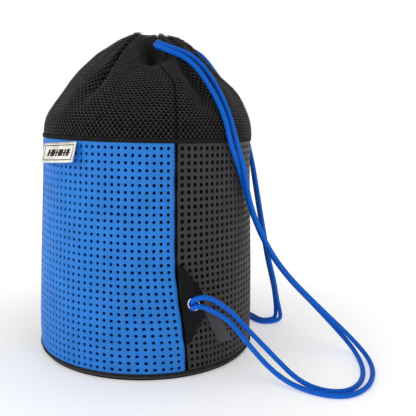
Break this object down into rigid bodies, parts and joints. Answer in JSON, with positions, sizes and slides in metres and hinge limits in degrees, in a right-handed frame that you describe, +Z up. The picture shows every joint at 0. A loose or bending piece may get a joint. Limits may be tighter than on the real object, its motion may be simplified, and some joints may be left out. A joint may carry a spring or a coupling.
{
  "type": "bowling ball bag",
  "caption": "Drawstring shoulder bag for a bowling ball, with a perforated foam wall on a stiff round base, a gathered mesh top and two doubled cord straps.",
  "frame": {"origin": "middle of the base disc's underside, on the floor", "axes": "+Z up the bag, +X to the right side seam with its tab, -Y to the outer side with the label, +Y to the wearer's side"},
  "size_m": [0.3637, 0.3479, 0.36],
  "materials": {
    "base_sheet": "coated weave, matte",
    "board": "matte",
    "foam": "closed-cell foam, matte",
    "welt": "matte, rounded",
    "binding": "woven tape, matte",
    "blue_panel": "perforated foam laminate, satin",
    "dark_panel": "perforated foam laminate, matte",
    "mesh_band": "dense knit, matte",
    "mesh": "open spacer mesh, matte",
    "tab": "coated fabric, satin",
    "eyelet": "pale plated, polished",
    "cord": "round braid, satin",
    "patch": "coated fabric, satin",
    "label": "woven label, matte",
    "label_edge": "woven label border, matte"
  },
  "bodies": {
    "bag": {"base_disc": "base_sheet", "base_board": "board", "base_foam_pad": "foam", "base_welt": "welt", "base_binding": "binding", "wall_panel_blue": "blue_panel", "wall_panel_dark_front": "dark_panel", "wall_panel_dark_back": "dark_panel", "side_seam_tape_right": "binding", "side_seam_tape_left": "binding", "front_seam_tape": "binding", "seam_band": "mesh_band", "mesh_top_front": "mesh", "mesh_top_back": "mesh", "mesh_seam_tape_right": "binding", "mesh_seam_tape_left": "binding", "casing_front": "mesh_band", "casing_back": "mesh_band", "drawcord_ring_right": "cord", "drawcord_ring_left": "cord", "right_wear_patch": "patch", "left_wear_patch": "patch", "right_strap_strand_a": "cord", "right_strap_strand_b": "cord", "left_strap_strand_a": "cord", "left_strap_strand_b": "cord"},
    "label_flap": {"label_backing": "label_edge", "label_face": "label"},
    "right_tab": {"right_tab_outer": "tab", "right_tab_inner": "tab", "right_eyelet": "eyelet", "right_eyelet_washer": "eyelet", "right_cord_knot": "cord"},
    "left_tab": {"left_tab_outer": "tab", "left_tab_inner": "tab", "left_eyelet": "eyelet", "left_eyelet_washer": "eyelet", "left_cord_knot": "cord"}
  },
  "joints": [
    {"name": "label_hinge", "type": "hinge", "parent": "bag", "child": "label_flap", "pos_m": [0.05794, -0.10325, 0.2406], "axis": [-0.8721, -0.4894, 0], "range_deg": [-12, 95]},
    {"name": "right_tab_hinge", "type": "hinge", "parent": "bag", "child": "right_tab", "pos_m": [0.1247, 0.0109, 0.037], "axis": [0.0217, 0.1063, -0.9941], "range_deg": [0, 100], "deforming": ["right_strap_strand_a", "right_strap_strand_b"]},
    {"name": "left_tab_hinge", "type": "hinge", "parent": "bag", "child": "left_tab", "pos_m": [-0.1247, 0.0109, 0.037], "axis": [0.0217, -0.1063, 0.9941], "range_deg": [0, 100], "deforming": ["left_strap_strand_a", "left_strap_strand_b"]}
  ]
}
